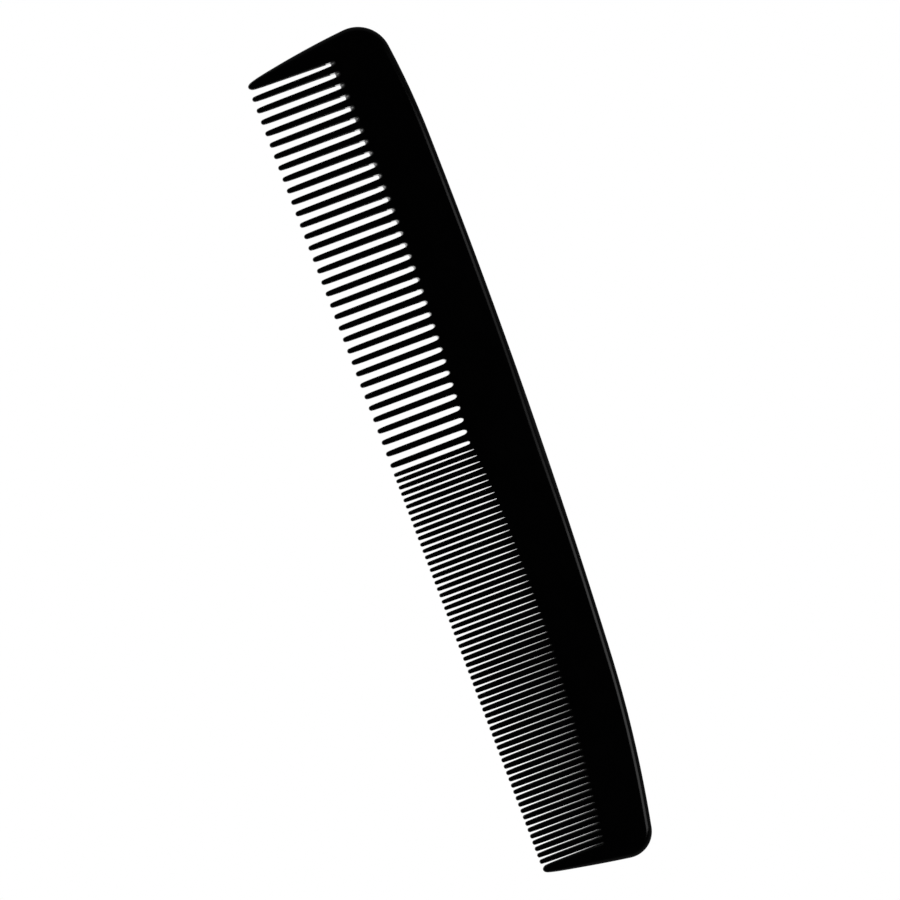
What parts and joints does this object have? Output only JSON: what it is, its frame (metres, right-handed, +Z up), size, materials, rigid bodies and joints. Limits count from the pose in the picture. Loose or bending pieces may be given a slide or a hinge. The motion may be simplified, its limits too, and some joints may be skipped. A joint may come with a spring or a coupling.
{
  "type": "hair comb",
  "caption": "Flat one-piece moulded comb: a curved spine over a row of widely spaced teeth and a row of closely spaced teeth, with a broad guard tooth at each end.",
  "frame": {"origin": "centre of the comb's bounding box in plan, at the flat underside that it rests on", "axes": "+X along the comb from the widely spaced teeth to the closely spaced ones, +Y from the tooth tips to the back of the spine, +Z up through the thickness"},
  "size_m": [0.179, 0.0316, 0.004],
  "materials": {
    "comb_plastic": "black, polished, high gloss"
  },
  "bodies": {
    "root": {"spine": "comb_plastic", "coarse_guard": "comb_plastic", "fine_guard": "comb_plastic", "coarse_teeth": "comb_plastic", "fine_teeth": "comb_plastic"}
  },
  "joints": []
}
